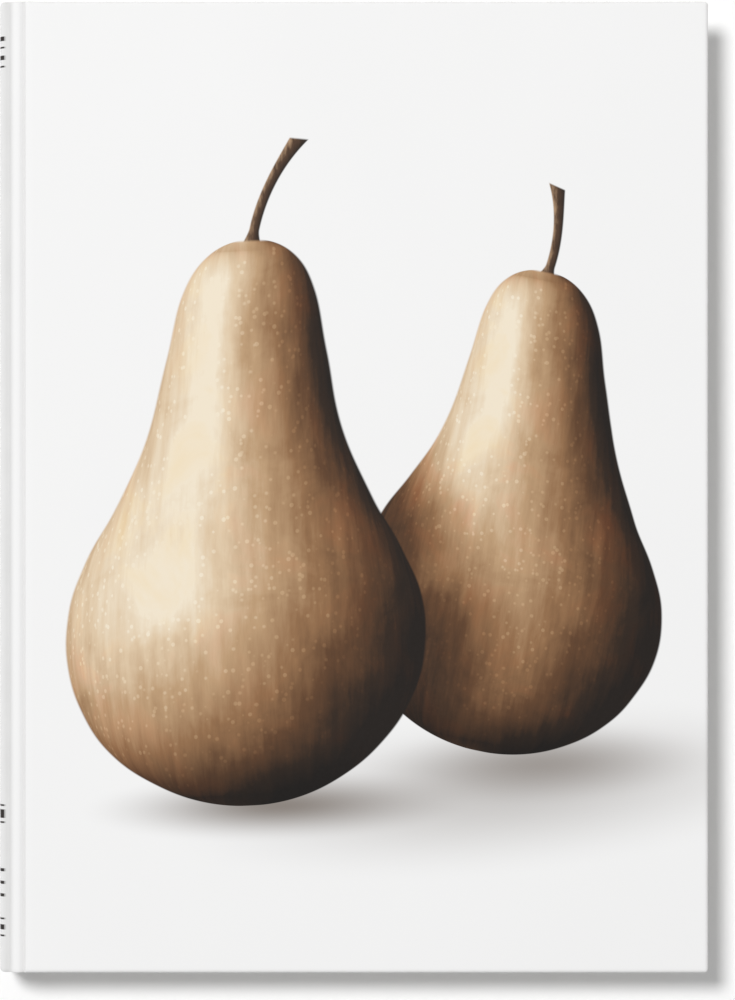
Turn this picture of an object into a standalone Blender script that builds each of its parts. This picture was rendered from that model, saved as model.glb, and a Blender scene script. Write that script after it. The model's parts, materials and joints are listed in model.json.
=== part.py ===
"""A hardback book, closed, lying on its back cover.

Metres, +Z up. The origin is the middle of the underside: the spine is at -X, the head of the book at +Y.
Two covers swing on the text block, each about its joint, the groove between its board and the spine.
"""

import math

import bmesh
import bpy
from mathutils import Matrix

MM = 0.001

# Driving sizes of the whole book, in millimetres
BOOK_HEIGHT = 285.0
BOOK_WIDTH = 208.4
BOOK_THICKNESS = 28.0
SECTION_COUNT = 16

# Covers
PAPER_SKIN = 0.25
PIECE_GAP = 0.25
BOARD_THICKNESS = 2.1
PASTEDOWN_THICKNESS = 0.2
TURN_IN = 15.0
EDGE_ROUNDING = 0.9
JOINT_X = -96.5
STRIP_LAP = 0.4
BOARD_SQUARE = 3.6

# Spine
SPINE_CARD = 0.9
SPINE_TURN_IN = 12.0
LINING_THICKNESS = 0.3
BACK_BULGE = 1.6

# Text block
LEAF_GAP = 0.2
FLYLEAF_THICKNESS = 0.2
LEAF_WIDTH = 200.2
HEADBAND_RADIUS = 0.7

HALF_HEIGHT = BOOK_HEIGHT / 2
HALF_WIDTH = BOOK_WIDTH / 2
MIDDLE_Z = BOOK_THICKNESS / 2
LEAF_HALF_HEIGHT = HALF_HEIGHT - BOARD_SQUARE

# Levels of the front cover, from its face down; the back cover mirrors them about the middle of the book
FACE_Z = BOOK_THICKNESS
SKIN_Z = FACE_Z - PAPER_SKIN
BOARD_TOP_Z = SKIN_Z - PIECE_GAP
BOARD_LOW_Z = BOARD_TOP_Z - BOARD_THICKNESS
TURN_TOP_Z = BOARD_LOW_Z - PIECE_GAP
TURN_LOW_Z = TURN_TOP_Z - PAPER_SKIN
PASTEDOWN_TOP_Z = TURN_LOW_Z - LEAF_GAP
PASTEDOWN_LOW_Z = PASTEDOWN_TOP_Z - PASTEDOWN_THICKNESS
FLYLEAF_TOP_Z = PASTEDOWN_LOW_Z - LEAF_GAP
FLYLEAF_LOW_Z = FLYLEAF_TOP_Z - FLYLEAF_THICKNESS
BLOCK_TOP_Z = FLYLEAF_LOW_Z - LEAF_GAP
BLOCK_LOW_Z = BOOK_THICKNESS - BLOCK_TOP_Z

# Distances inwards from the outside of the spine
CARD_OUT = PAPER_SKIN + PIECE_GAP
CARD_IN = CARD_OUT + SPINE_CARD
SPINE_TURN_OUT = CARD_IN + PIECE_GAP
SPINE_TURN_IN_FACE = SPINE_TURN_OUT + PAPER_SKIN
LINING_OUT = SPINE_TURN_IN_FACE + PIECE_GAP
LINING_IN = LINING_OUT + LINING_THICKNESS
BLOCK_BACK_X = -HALF_WIDTH + LINING_IN + PIECE_GAP

# The outside of the spine, from the front joint over the ridge to the middle of the panel, as x from the outermost
# point of the spine and z down from the front cover's face; the spine board begins at the card point
SPINE_HALF_OUTLINE = [
    (7.42, 0.8),
    (7.15, 0.7),
    (6.85, 0.54),
    (6.4, 0.34),
    (5.7, 0.28),
    (4.8, 0.5),
    (3.9, 1.25),
    (3.15, 2.12),
    (2.35, 2.3),
    (1.55, 2.5),
    (0.85, 3.2),
    (0.35, 4.8),
    (0.07, 8.6),
    (0.0, 14.0),
]
CARD_POINT = 10
# The outside of the front cover beside the joint, as x from the joint's axis and z down from the face
COVER_SLOPE = [(-0.02, 0.8), (0.13, 0.68), (0.34, 0.4), (0.58, 0.14), (0.9, 0.0)]
BOARD_START_X = JOINT_X + COVER_SLOPE[-1][0]
CURVE_STEPS = 3

COVER_WHITE = (0.93, 0.93, 0.92, 1)
FINISHES = {
    "cover_paper": (COVER_WHITE, 0.55),
    "greyboard": ((0.45, 0.43, 0.40, 1), 0.9),
    "endpaper": ((0.92, 0.91, 0.88, 1), 0.8),
    "leaf_paper": ((0.90, 0.885, 0.85, 1), 0.8),
    "lining_paper": ((0.80, 0.76, 0.68, 1), 0.9),
    "headband_cloth": ((0.86, 0.84, 0.80, 1), 0.85),
}


def clear_scene():
    for obj in list(bpy.data.objects):
        bpy.data.objects.remove(obj, do_unlink=True)


def finish_material(name):
    found = bpy.data.materials.get(name)
    if found:
        return found
    colour, roughness = FINISHES[name]
    material = bpy.data.materials.new(name)
    material.use_nodes = True
    shader = material.node_tree.nodes["Principled BSDF"]
    shader.inputs["Base Color"].default_value = colour
    shader.inputs["Roughness"].default_value = roughness
    shader.inputs["Metallic"].default_value = 0.0
    material.diffuse_color = colour
    return material


def mesh_object(name, points, faces, finish):
    """An object from points in millimetres, its faces turned outwards."""
    mesh = bpy.data.meshes.new(name)
    shape = bmesh.new()
    corners = [shape.verts.new([value * MM for value in point]) for point in points]
    for face in faces:
        shape.faces.new([corners[index] for index in face])
    bmesh.ops.recalc_face_normals(shape, faces=shape.faces)
    shape.to_mesh(mesh)
    shape.free()
    obj = bpy.data.objects.new(name, mesh)
    bpy.context.scene.collection.objects.link(obj)
    mesh.materials.append(finish_material(finish))
    mesh.shade_smooth()
    mesh.set_sharp_from_angle(angle=math.radians(35))
    return obj


def prism(name, outline, low_y, high_y, finish):
    """A closed outline in XZ, extruded along Y."""
    count = len(outline)
    points = [(x, low_y, z) for x, z in outline] + [(x, high_y, z) for x, z in outline]
    sides = [(i, (i + 1) % count, (i + 1) % count + count, i + count) for i in range(count)]
    ends = [tuple(range(count)), tuple(range(count, 2 * count))]
    return mesh_object(name, points, sides + ends, finish)


def ribbon(name, outer, inner, low_y, high_y, finish):
    """The layer between two lines in XZ with as many points each, extruded along Y."""
    count = len(outer)
    rows = [[(x, y, z) for x, z in line] for y in (low_y, high_y) for line in (outer, inner)]
    points = [point for row in rows for point in row]
    faces = []
    for i in range(count - 1):
        low_outer, low_inner, high_outer, high_inner = (row * count + i for row in range(4))
        faces.append((low_outer, low_outer + 1, low_inner + 1, low_inner))
        faces.append((high_outer, high_outer + 1, high_inner + 1, high_inner))
        faces.append((low_outer, low_outer + 1, high_outer + 1, high_outer))
        faces.append((low_inner, low_inner + 1, high_inner + 1, high_inner))
    for i in (0, count - 1):
        faces.append((i, count + i, 3 * count + i, 2 * count + i))
    return mesh_object(name, points, faces, finish)


def block(name, low, high, finish):
    """A plain box between two corners."""
    outline = [(low[0], low[2]), (high[0], low[2]), (high[0], high[2]), (low[0], high[2])]
    return prism(name, outline, low[1], high[1], finish)


def smooth_line(points, steps):
    """A Catmull-Rom curve through the points."""
    padded = [points[0]] + list(points) + [points[-1]]
    line = []
    for a, b, c, d in zip(padded, padded[1:], padded[2:], padded[3:]):
        for step in range(steps):
            t = step / steps
            line.append(
                tuple(
                    0.5 * (2 * q + (r - p) * t + (2 * p - 5 * q + 4 * r - s) * t**2 + (3 * q - p - 3 * r + s) * t**3)
                    for p, q, r, s in zip(a, b, c, d)
                )
            )
    return line + [tuple(points[-1])]


def offset_line(line, distance):
    """The line moved sideways, to the left of its direction when the distance is positive."""
    moved = []
    for i, (x, z) in enumerate(line):
        before, after = line[max(i - 1, 0)], line[min(i + 1, len(line) - 1)]
        run, rise = after[0] - before[0], after[1] - before[1]
        length = math.hypot(run, rise)
        moved.append((x - distance * rise / length, z + distance * run / length))
    return moved


def flipped(line):
    """The same line on the other side of the book's middle."""
    return [(x, BOOK_THICKNESS - z) for x, z in line]


def add_boolean(obj, other, operation):
    modifier = obj.modifiers.new(f"{operation.title()} {other.name}", "BOOLEAN")
    modifier.operation = operation
    modifier.solver = "EXACT"
    modifier.object = other
    other.hide_render = True
    other.display_type = "WIRE"


def add_rounding(obj, width, segments=3):
    """Rounds the outer edges of a cover's piece, at the head, the tail and the fore edge."""
    weights = obj.data.attributes.new("bevel_weight_edge", "FLOAT", "EDGE")
    points = [vertex.co / MM for vertex in obj.data.vertices]
    outermost = max(abs(point.z - MIDDLE_Z) for point in points)
    for edge, weight in zip(obj.data.edges, weights.data):
        ends = [points[index] for index in edge.vertices]
        at_spine = all(point.x < 0 for point in ends)
        outside = any(abs(point.z - MIDDLE_Z) > outermost - 0.01 for point in ends)
        weight.value = 1.0 if outside and not at_spine else 0.0
    modifier = obj.modifiers.new("Rounding", "BEVEL")
    modifier.width = width * MM
    modifier.segments = segments
    modifier.limit_method = "WEIGHT"


def joint_empty(name, level):
    empty = bpy.data.objects.new(name, None)
    empty.location = (JOINT_X * MM, 0, level * MM)
    empty.rotation_euler = (math.radians(90), 0, 0)
    bpy.context.scene.collection.objects.link(empty)
    return empty


def carry(empty, pieces):
    """The pieces hang on the empty, with their origins on the joint's axis."""
    bpy.context.view_layer.update()
    for piece in pieces:
        piece.data.transform(Matrix.Translation(-empty.matrix_world.translation))
        piece.location = empty.matrix_world.translation
        bpy.context.view_layer.update()
        place = piece.matrix_world.copy()
        piece.parent = empty
        piece.matrix_parent_inverse = empty.matrix_world.inverted()
        piece.matrix_world = place


def cover_pieces(side, turn):
    """Board, paper skin and pastedown of one cover. turn maps a front cover outline to this cover's."""
    slab = [(BOARD_START_X, TURN_LOW_Z), (HALF_WIDTH, TURN_LOW_Z), (HALF_WIDTH, FACE_Z), (BOARD_START_X, FACE_Z)]
    wrap = prism(f"{side}_wrap", turn(slab), -HALF_HEIGHT, HALF_HEIGHT, "cover_paper")
    add_rounding(wrap, EDGE_ROUNDING)

    hollow_half, hollow_x = HALF_HEIGHT - PAPER_SKIN, HALF_WIDTH - PAPER_SKIN
    hollow_outline = [(JOINT_X, TURN_TOP_Z), (hollow_x, TURN_TOP_Z), (hollow_x, SKIN_Z), (JOINT_X, SKIN_Z)]
    hollow = prism(f"{side}_wrap_hollow", turn(hollow_outline), -hollow_half, hollow_half, "cover_paper")
    add_rounding(hollow, EDGE_ROUNDING - PAPER_SKIN)

    window_x, window_half = HALF_WIDTH - TURN_IN, HALF_HEIGHT - TURN_IN
    window_low, window_high = TURN_LOW_Z - PIECE_GAP, TURN_TOP_Z + PIECE_GAP
    window_outline = [(JOINT_X, window_low), (window_x, window_low), (window_x, window_high), (JOINT_X, window_high)]
    window = prism(f"{side}_wrap_window", turn(window_outline), -window_half, window_half, "cover_paper")

    slope = smooth_line([(JOINT_X + x, FACE_Z - z) for x, z in COVER_SLOPE], CURVE_STEPS)
    under = offset_line(slope, -PAPER_SKIN)
    tuck = PAPER_SKIN / 15
    lap = (BOARD_START_X + STRIP_LAP, FACE_Z - PAPER_SKIN / 3)
    lap_under = (BOARD_START_X + STRIP_LAP, SKIN_Z + PAPER_SKIN / 3)
    strip_outer = turn(slope[:-1] + [(BOARD_START_X, FACE_Z - tuck), lap])
    strip_inner = turn(under[:-1] + [(BOARD_START_X, SKIN_Z + tuck), lap_under])
    strip_half = HALF_HEIGHT - EDGE_ROUNDING / 2
    strip = ribbon(f"{side}_wrap_strip", strip_outer, strip_inner, -strip_half, strip_half, "cover_paper")
    add_boolean(wrap, hollow, "DIFFERENCE")
    add_boolean(wrap, window, "DIFFERENCE")
    add_boolean(wrap, strip, "UNION")

    board_x, board_half = hollow_x - PIECE_GAP, hollow_half - PIECE_GAP
    board_start = BOARD_START_X + PIECE_GAP
    board_outline = [
        (board_start, BOARD_LOW_Z),
        (board_x, BOARD_LOW_Z),
        (board_x, BOARD_TOP_Z),
        (board_start, BOARD_TOP_Z),
    ]
    board = prism(f"{side}_board", turn(board_outline), -board_half, board_half, "greyboard")
    add_rounding(board, EDGE_ROUNDING - PAPER_SKIN - PIECE_GAP)

    sheet_x = HALF_WIDTH - BOARD_SQUARE
    sheet_outline = [
        (board_start, PASTEDOWN_LOW_Z),
        (sheet_x, PASTEDOWN_LOW_Z),
        (sheet_x, PASTEDOWN_TOP_Z),
        (board_start, PASTEDOWN_TOP_Z),
    ]
    sheet = prism(f"{side}_pastedown", turn(sheet_outline), -LEAF_HALF_HEIGHT, LEAF_HALF_HEIGHT, "endpaper")
    return [wrap, hollow, window, strip, board, sheet]


def spine_outline():
    """The outside of the whole spine, from the front joint round to the back joint."""
    half = [(x - HALF_WIDTH, FACE_Z - z) for x, z in SPINE_HALF_OUTLINE]
    return half + flipped(half[-2::-1])


def spine_wrap(outer, first, last):
    """The paper over the spine, one closed sheet: it goes over the head and tail of the board and is turned in."""
    inner_half, turn_half = HALF_HEIGHT - PAPER_SKIN, HALF_HEIGHT - SPINE_TURN_IN
    # Depth and y around the section, where the board is; beside the board only the plain points are used
    section = [
        (0, -HALF_HEIGHT),
        (0, HALF_HEIGHT),
        (PAPER_SKIN, HALF_HEIGHT),
        (SPINE_TURN_IN_FACE, HALF_HEIGHT),
        (SPINE_TURN_IN_FACE, turn_half),
        (SPINE_TURN_OUT, turn_half),
        (SPINE_TURN_OUT, inner_half),
        (PAPER_SKIN, inner_half),
    ]
    section += [(depth, -y) for depth, y in reversed(section[2:])]
    plain = [0, 1, 2, 7, 8, 13]
    whole = list(range(len(section)))
    head_end, tail_end = whole[2:8], whole[8:14]

    lines = {depth: offset_line(outer, depth) for depth, y in section}
    points = []
    used = []
    for column in range(len(outer)):
        kept = whole if first <= column < last else plain
        used.append({index: len(points) + order for order, index in enumerate(kept)})
        for index in kept:
            depth, y = section[index]
            x, z = lines[depth][column]
            points.append((x, y, z))

    faces = []
    for column in range(len(outer) - 1):
        here, beyond = used[column], used[column + 1]
        loop = whole if len(here) == len(beyond) == len(whole) else plain
        for a, b in zip(loop, loop[1:] + loop[:1]):
            faces.append((here[a], here[b], beyond[b], beyond[a]))
    for column in (first, last - 1):
        for end in (head_end, tail_end):
            faces.append([used[column][index] for index in end])
    for column in (0, len(outer) - 1):
        faces.append([used[column][index] for index in plain])
    return mesh_object("spine_wrap", points, faces, "cover_paper")


def spine_pieces():
    outer = smooth_line(spine_outline(), CURVE_STEPS)
    first = CARD_POINT * CURVE_STEPS
    last = len(outer) - first
    spine_wrap(outer, first, last)
    for name, depth_out, depth_in, half, finish in (
        ("spine_board", CARD_OUT, CARD_IN, HALF_HEIGHT - PAPER_SKIN - PIECE_GAP, "greyboard"),
        ("spine_lining", LINING_OUT, LINING_IN, LEAF_HALF_HEIGHT, "lining_paper"),
    ):
        outside, inside = (offset_line(outer, depth)[first:last] for depth in (depth_out, depth_in))
        ribbon(name, outside, inside, -half, half, finish)


def block_back(z):
    """How far towards the spine the leaves reach at this level: the back of the block is rounded."""
    reach = (z - MIDDLE_Z) / (BLOCK_TOP_Z - MIDDLE_Z)
    return BLOCK_BACK_X + BACK_BULGE * reach**2


def text_block():
    pitch = (BLOCK_TOP_Z - BLOCK_LOW_Z + LEAF_GAP) / SECTION_COUNT
    radius = (pitch - LEAF_GAP) / 2
    for index in range(SECTION_COUNT):
        middle = BLOCK_TOP_Z - index * pitch - radius
        back_x = block_back(middle)
        fold = [
            (back_x + radius - radius * math.sin(angle), middle + radius * math.cos(angle))
            for angle in (math.pi * step / 6 for step in range(7))
        ]
        fore_x = back_x + LEAF_WIDTH
        outline = fold + [(fore_x, middle - radius), (fore_x, middle + radius)]
        prism(f"section_{index + 1:02d}", outline, -LEAF_HALF_HEIGHT, LEAF_HALF_HEIGHT, "leaf_paper")
    back_x = block_back(BLOCK_TOP_Z)
    for side, low, high in (
        ("front", FLYLEAF_LOW_Z, FLYLEAF_TOP_Z),
        ("back", BOOK_THICKNESS - FLYLEAF_TOP_Z, BOOK_THICKNESS - FLYLEAF_LOW_Z),
    ):
        block(
            f"{side}_flyleaf",
            (back_x + radius, -LEAF_HALF_HEIGHT, low),
            (back_x + LEAF_WIDTH, LEAF_HALF_HEIGHT, high),
            "endpaper",
        )


def headband(name, sign):
    """A bead along the rounded back of the block, at its head or its tail."""
    curve = bpy.data.curves.new(name, "CURVE")
    curve.dimensions = "3D"
    curve.bevel_depth = HEADBAND_RADIUS * MM
    curve.bevel_resolution = 2
    curve.use_fill_caps = True
    count = 13
    low, high = BLOCK_LOW_Z + HEADBAND_RADIUS, BLOCK_TOP_Z - HEADBAND_RADIUS
    spline = curve.splines.new("POLY")
    spline.points.add(count - 1)
    centre_y = sign * (LEAF_HALF_HEIGHT + PIECE_GAP + HEADBAND_RADIUS)
    for index, point in enumerate(spline.points):
        z = low + (high - low) * index / (count - 1)
        point.co = ((block_back(z) + HEADBAND_RADIUS) * MM, centre_y * MM, z * MM, 1)
    obj = bpy.data.objects.new(name, curve)
    bpy.context.scene.collection.objects.link(obj)
    curve.materials.append(finish_material("headband_cloth"))


def main():
    clear_scene()
    front_axis = joint_empty("front_cover_axis", FACE_Z)
    back_axis = joint_empty("back_cover_axis", 0)
    carry(front_axis, cover_pieces("front", list))
    carry(back_axis, cover_pieces("back", flipped))
    spine_pieces()
    text_block()
    headband("headband", 1)
    headband("tailband", -1)


main()
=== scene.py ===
import json
import math
import random

import bmesh
import bpy
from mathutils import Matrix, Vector


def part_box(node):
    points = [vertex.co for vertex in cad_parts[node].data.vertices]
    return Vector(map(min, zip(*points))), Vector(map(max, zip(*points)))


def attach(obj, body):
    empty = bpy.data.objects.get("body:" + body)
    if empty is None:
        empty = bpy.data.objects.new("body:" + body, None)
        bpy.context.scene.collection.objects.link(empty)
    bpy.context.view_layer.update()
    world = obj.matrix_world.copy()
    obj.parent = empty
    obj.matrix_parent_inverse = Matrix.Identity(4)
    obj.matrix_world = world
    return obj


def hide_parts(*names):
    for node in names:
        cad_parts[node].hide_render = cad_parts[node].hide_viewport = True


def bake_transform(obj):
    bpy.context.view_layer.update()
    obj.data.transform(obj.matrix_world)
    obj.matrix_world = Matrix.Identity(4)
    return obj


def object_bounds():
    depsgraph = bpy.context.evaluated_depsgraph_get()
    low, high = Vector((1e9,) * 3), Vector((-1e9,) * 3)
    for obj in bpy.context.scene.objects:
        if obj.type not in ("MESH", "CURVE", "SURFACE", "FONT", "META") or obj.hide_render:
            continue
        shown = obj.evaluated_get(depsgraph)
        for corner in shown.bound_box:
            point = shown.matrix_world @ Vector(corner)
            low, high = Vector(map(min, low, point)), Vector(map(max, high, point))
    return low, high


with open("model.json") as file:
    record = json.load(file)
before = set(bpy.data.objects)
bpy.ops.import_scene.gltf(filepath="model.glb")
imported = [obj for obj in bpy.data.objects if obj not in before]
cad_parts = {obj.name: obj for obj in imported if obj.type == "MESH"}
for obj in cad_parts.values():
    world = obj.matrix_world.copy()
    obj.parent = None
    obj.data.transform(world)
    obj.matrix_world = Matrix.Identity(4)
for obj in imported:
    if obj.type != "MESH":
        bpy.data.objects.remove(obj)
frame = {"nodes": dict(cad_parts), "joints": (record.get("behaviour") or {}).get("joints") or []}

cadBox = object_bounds()
mm = 0.001
scene = bpy.context.scene
scene.view_settings.view_transform = "Standard"  # keeps the studio white as white as the paper

# The book's own measures, read from the frame
bookLow, bookHigh = Vector(cadBox[0]), Vector(cadBox[1])
spineX, foreX = bookLow.x, bookHigh.x
tailY, headY = bookLow.y, bookHigh.y
faceZ, midZ = bookHigh.z, (bookLow.z + bookHigh.z) / 2
jointPlace = {joint["child"]: Vector(joint["pos_m"]) for joint in frame["joints"]}
jointX = jointPlace["front_cover"].x
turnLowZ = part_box("front_wrap")[0][2]
leafLow, leafHigh = (Vector(corner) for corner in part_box("front_flyleaf"))
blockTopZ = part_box("section_01")[1][2]
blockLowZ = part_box("section_16")[0][2]


# Node-building helpers

class NodeSheet:
    # Adds nodes to one tree and wires them. A value may be a number, a vector, a colour or another node's socket
    def __init__(self, tree):
        self.tree = tree

    def node(self, kind, **settings):
        made = self.tree.nodes.new(kind)
        for name, value in settings.items():
            setattr(made, name, value)
        return made

    def feed(self, socket, value):
        if isinstance(value, bpy.types.NodeSocket):
            self.tree.links.new(value, socket)
        else:
            socket.default_value = value

    def sums(self, operation, *values, clamp=False):
        made = self.node("ShaderNodeMath", operation=operation, use_clamp=clamp)
        for socket, value in zip(made.inputs, values):
            self.feed(socket, value)
        return made.outputs[0]

    def vector(self, operation, *values, out=0):
        made = self.node("ShaderNodeVectorMath", operation=operation)
        for socket, value in zip(made.inputs, values):
            self.feed(socket, value)
        return made.outputs[out]

    def span(self, value, low, high, toLow=0.0, toHigh=1.0, smooth=False):
        made = self.node("ShaderNodeMapRange", interpolation_type="SMOOTHSTEP" if smooth else "LINEAR")
        for name, given in (("Value", value), ("From Min", low), ("From Max", high),
                            ("To Min", toLow), ("To Max", toHigh)):
            self.feed(made.inputs[name], given)
        return made.outputs["Result"]

    def mix(self, factor, first, second, blend="MIX"):
        made = self.node("ShaderNodeMix", data_type="RGBA", blend_type=blend)
        self.feed(made.inputs["Factor"], factor)
        self.feed(made.inputs[6], first)
        self.feed(made.inputs[7], second)
        return made.outputs[2]

    def noise(self, place, scale, detail=3.0, roughness=0.55, distortion=0.0):
        made = self.node("ShaderNodeTexNoise")
        for name, given in (("Vector", place), ("Scale", scale), ("Detail", detail),
                            ("Roughness", roughness), ("Distortion", distortion)):
            self.feed(made.inputs[name], given)
        return made.outputs["Fac"]

    def axes(self, place):
        made = self.node("ShaderNodeSeparateXYZ")
        self.feed(made.inputs[0], place)
        return made.outputs

    def joined(self, x, y, z):
        made = self.node("ShaderNodeCombineXYZ")
        for socket, value in zip(made.inputs, (x, y, z)):
            self.feed(socket, value)
        return made.outputs[0]

    def ramp(self, value, stops):
        made = self.node("ShaderNodeValToRGB")
        while len(made.color_ramp.elements) < len(stops):
            made.color_ramp.elements.new(0.5)
        for element, (place, colour) in zip(made.color_ramp.elements, stops):
            element.position = place
            element.color = (*colour, 1)
        self.feed(made.inputs[0], value)
        return made.outputs[0]

    def group(self, name, **values):
        made = self.node("ShaderNodeGroup")
        made.node_tree = bpy.data.node_groups[name]
        for label, value in values.items():
            self.feed(made.inputs[label], value)
        return made.outputs


def newGroup(name, inputs, outputs):
    # inputs: label -> (kind, default); outputs: label -> kind
    tree = bpy.data.node_groups.new(name, "ShaderNodeTree")
    for label, (kind, default) in inputs.items():
        socket = tree.interface.new_socket(label, in_out="INPUT", socket_type=f"NodeSocket{kind}")
        if default is not None:
            socket.default_value = default
    for label, kind in outputs.items():
        tree.interface.new_socket(label, in_out="OUTPUT", socket_type=f"NodeSocket{kind}")
    sheet = NodeSheet(tree)
    return sheet, sheet.node("NodeGroupInput").outputs, sheet.node("NodeGroupOutput").inputs


def newMaterial(name, roughness, specular=0.5):
    material = bpy.data.materials.new(name)
    material.use_nodes = True
    shader = material.node_tree.nodes["Principled BSDF"]
    shader.inputs["Roughness"].default_value = roughness
    shader.inputs["Specular IOR Level"].default_value = specular
    return material, NodeSheet(material.node_tree), shader.inputs


def restPlace(sheet):
    # Where each point lies on the closed book, so that print and fibres stay put when a cover opens
    return sheet.node("ShaderNodeAttribute", attribute_name="restPlace").outputs["Vector"]


def addBump(sheet, inputs, height, strength, distance):
    bump = sheet.node("ShaderNodeBump")
    bump.inputs["Strength"].default_value = strength
    bump.inputs["Distance"].default_value = distance
    sheet.feed(bump.inputs["Height"], height)
    sheet.feed(inputs["Normal"], bump.outputs[0])


# Shared effects

fibreValues = {"fineScale": 5200.0, "fineShare": 0.55, "feltScale": 900.0, "cloudScale": 22.0}
rubValues = {"cornerReach": 4.0, "cornerRub": 0.5, "patchScale": 260.0}
# Reach and strength of the painted shade along the joint groove and the spine's crease
creaseShadeValues = {
    "jointAside": 0.15 * mm,
    "jointReach": 0.7 * mm,
    "jointShade": 0.75,
    "creaseIn": 2.55 * mm,
    "creaseReach": 2.4 * mm,
    "creaseStart": 8.5 * mm,  # heights above and below the middle of the spine, where the painted shade in the crease begins
    "creaseFull": 11.2 * mm,
    "shadeVariationScale": 70.0,
}


def buildPaperFibre():
    # Fine fibre relief and a faint cloudy tone, for every kind of paper on the book
    sheet, given, made = newGroup(
        "paperFibre",
        {"Place": ("Vector", None), "Fibre Size": ("Float", 1.0), "Cloud": ("Float", 0.02)},
        {"Height": "Float", "Tone": "Float"},
    )
    place = sheet.vector("SCALE", given["Place"])
    sheet.feed(place.node.inputs["Scale"], sheet.sums("DIVIDE", 1.0, given["Fibre Size"]))
    fine = sheet.sums("MULTIPLY", sheet.noise(place, fibreValues["fineScale"], 2.0, 0.6), fibreValues["fineShare"])
    felt = sheet.noise(place, fibreValues["feltScale"], 3.0, 0.6, 0.8)
    felt = sheet.sums("MULTIPLY", felt, 1 - fibreValues["fineShare"])
    sheet.feed(made["Height"], sheet.sums("ADD", fine, felt))
    cloud = sheet.sums("SUBTRACT", sheet.noise(place, fibreValues["cloudScale"], 4.0, 0.5), 0.5)
    tone = sheet.sums("MULTIPLY", cloud, given["Cloud"])
    sheet.feed(made["Tone"], sheet.sums("ADD", 1.0, tone))


def buildShelfRub():
    # How far the board's edges and corners are rubbed: 1 at a bare corner, 0 on the face
    sheet, given, made = newGroup(
        "shelfRub",
        {"Place": ("Vector", None), "Fore Edge": ("Float", 0.1), "Half Height": ("Float", 0.14),
         "Reach": ("Float", 0.0012)},
        {"Rub": "Float"},
    )
    x, y, _ = sheet.axes(given["Place"])
    fromFore = sheet.sums("SUBTRACT", given["Fore Edge"], x)
    fromEnd = sheet.sums("SUBTRACT", given["Half Height"], sheet.sums("ABSOLUTE", y))
    edge = sheet.span(sheet.sums("SMOOTH_MIN", fromFore, fromEnd, 0.001), 0.0, given["Reach"], 1.0, 0.0, True)
    cornerReach = sheet.sums("MULTIPLY", given["Reach"], rubValues["cornerReach"])
    corner = sheet.span(sheet.sums("ADD", fromFore, fromEnd), 0.0, cornerReach, rubValues["cornerRub"], 0.0)
    patchy = sheet.span(sheet.noise(given["Place"], rubValues["patchScale"], 4.0, 0.65), 0.42, 0.7)
    rub = sheet.sums("MULTIPLY", sheet.sums("ADD", edge, corner), patchy, clamp=True)
    sheet.feed(made["Rub"], rub)


def buildCreaseShade():
    # Painted shade in the two grooves beside the spine: strongest along the bottom of a groove, none on the boards
    sheet, given, made = newGroup(
        "creasePaintedShade",
        {"Place": ("Vector", None), "Joint": ("Float", 0.0), "Crease": ("Float", 0.0)},
        {"PaintedShade": "Float"},
    )
    x, _, z = sheet.axes(given["Place"])
    fromJoint = sheet.sums("ABSOLUTE", sheet.sums("SUBTRACT", x, given["Joint"]))
    fromCrease = sheet.sums("ABSOLUTE", sheet.sums("SUBTRACT", x, given["Crease"]))
    fromMiddle = sheet.sums("ABSOLUTE", sheet.sums("SUBTRACT", z, midZ))
    joint = sheet.span(fromJoint, 0.0, creaseShadeValues["jointReach"], creaseShadeValues["jointShade"], 0.0, True)
    nearCrease = sheet.span(fromCrease, 0.0, creaseShadeValues["creaseReach"], 1.0, 0.0, True)
    offMiddle = sheet.span(fromMiddle, creaseShadeValues["creaseStart"], creaseShadeValues["creaseFull"], 0.0, 1.0, True)
    crease = sheet.sums("MULTIPLY", nearCrease, offMiddle)
    # Noise makes the painted shade uneven
    shadeVariation = sheet.span(sheet.noise(given["Place"], creaseShadeValues["shadeVariationScale"], 3.0), 0.3, 0.7, 0.8, 1.0)
    sheet.feed(made["PaintedShade"], sheet.sums("MULTIPLY", sheet.sums("MAXIMUM", joint, crease), shadeVariation, clamp=True))


# Height along the pear and half its width, both as shares of its length
pearOutline = [
    (0.0, 0.0), (0.06, 0.078), (0.13, 0.16), (0.2, 0.232), (0.27, 0.286), (0.335, 0.314), (0.4, 0.315),
    (0.46, 0.283), (0.52, 0.231), (0.6, 0.176), (0.7, 0.142), (0.8, 0.117), (0.88, 0.084), (1.0, 0.0),
]


def buildTurnedOutline():
    # Reads the outline at a height. The height is turned into an angle, from foot to top, so that both ends come
    # out round
    sheet, given, made = newGroup("pearOutline", {"Height": ("Float", 0.0)}, {"Half Width": "Float"})
    curve = sheet.node("ShaderNodeFloatCurve")
    points = curve.mapping.curves[0].points
    while len(points) < len(pearOutline):
        points.new(0.5, 0.5)
    for point, (height, width) in zip(points, pearOutline):
        point.location = (height, width)
    curve.mapping.update()
    held = sheet.sums("MINIMUM", sheet.sums("MAXIMUM", given["Height"], 0.0), 1.0)
    angle = sheet.sums("ARCCOSINE", sheet.sums("SUBTRACT", 1.0, sheet.sums("MULTIPLY", held, 2.0)))
    sheet.feed(curve.inputs["Value"], sheet.sums("DIVIDE", angle, math.pi))
    sheet.feed(made["Half Width"], curve.outputs[0])


pearShading = {
    "keyDirection": (-0.66, 0.36, 0.66),
    "gleamDirection": (-0.42, 0.26, 0.87),
    "gleamTightness": 26.0,
    "lumpScale": 22.0,
    "lumpSize": 0.02,
    "slopeStep": 0.02,
    "thinnest": 0.004,  # keeps the division at the two ends of the outline within bounds
}


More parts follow.
